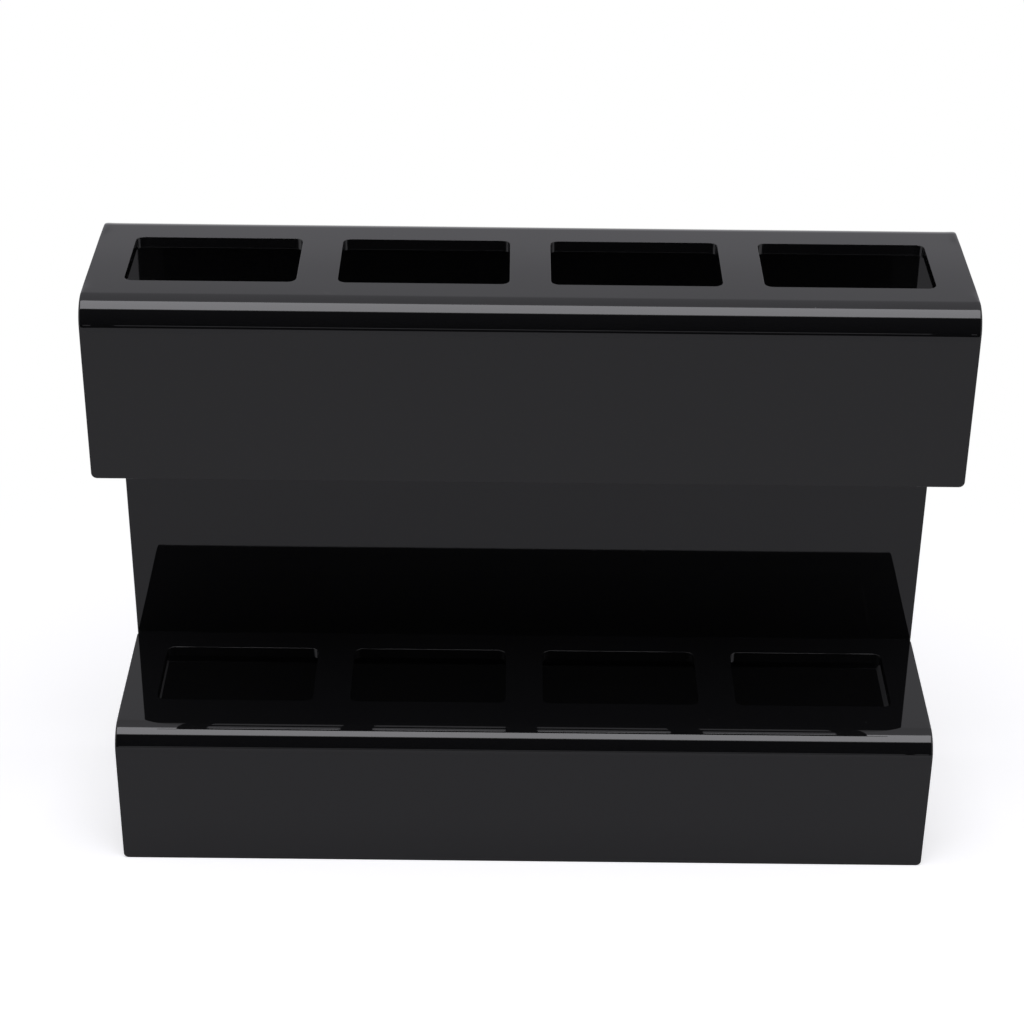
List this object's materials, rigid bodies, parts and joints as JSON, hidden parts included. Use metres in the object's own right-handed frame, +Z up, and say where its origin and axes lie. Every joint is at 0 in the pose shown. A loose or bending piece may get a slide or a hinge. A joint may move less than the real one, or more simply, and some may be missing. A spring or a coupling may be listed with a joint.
{
  "type": "paint rack organizer",
  "caption": "Two-tier stand in bent gloss black acrylic: slotted upper and lower shelves with deep front lips, carried by one tall back panel.",
  "frame": {"origin": "on the table, under the middle of the rack's footprint", "axes": "+X to the user's right, along the shelves; +Y from the front lips to the back panel; +Z up"},
  "size_m": [0.3, 0.072, 0.231],
  "materials": {
    "acrylic": "black cast acrylic sheet, mirror gloss, cut edges polished",
    "cement": "cured acrylic cement, glossy and slightly wavy"
  },
  "bodies": {
    "root": {"back_sheet": "acrylic", "lower_sheet": "acrylic", "cement_seam": "cement"}
  },
  "joints": []
}
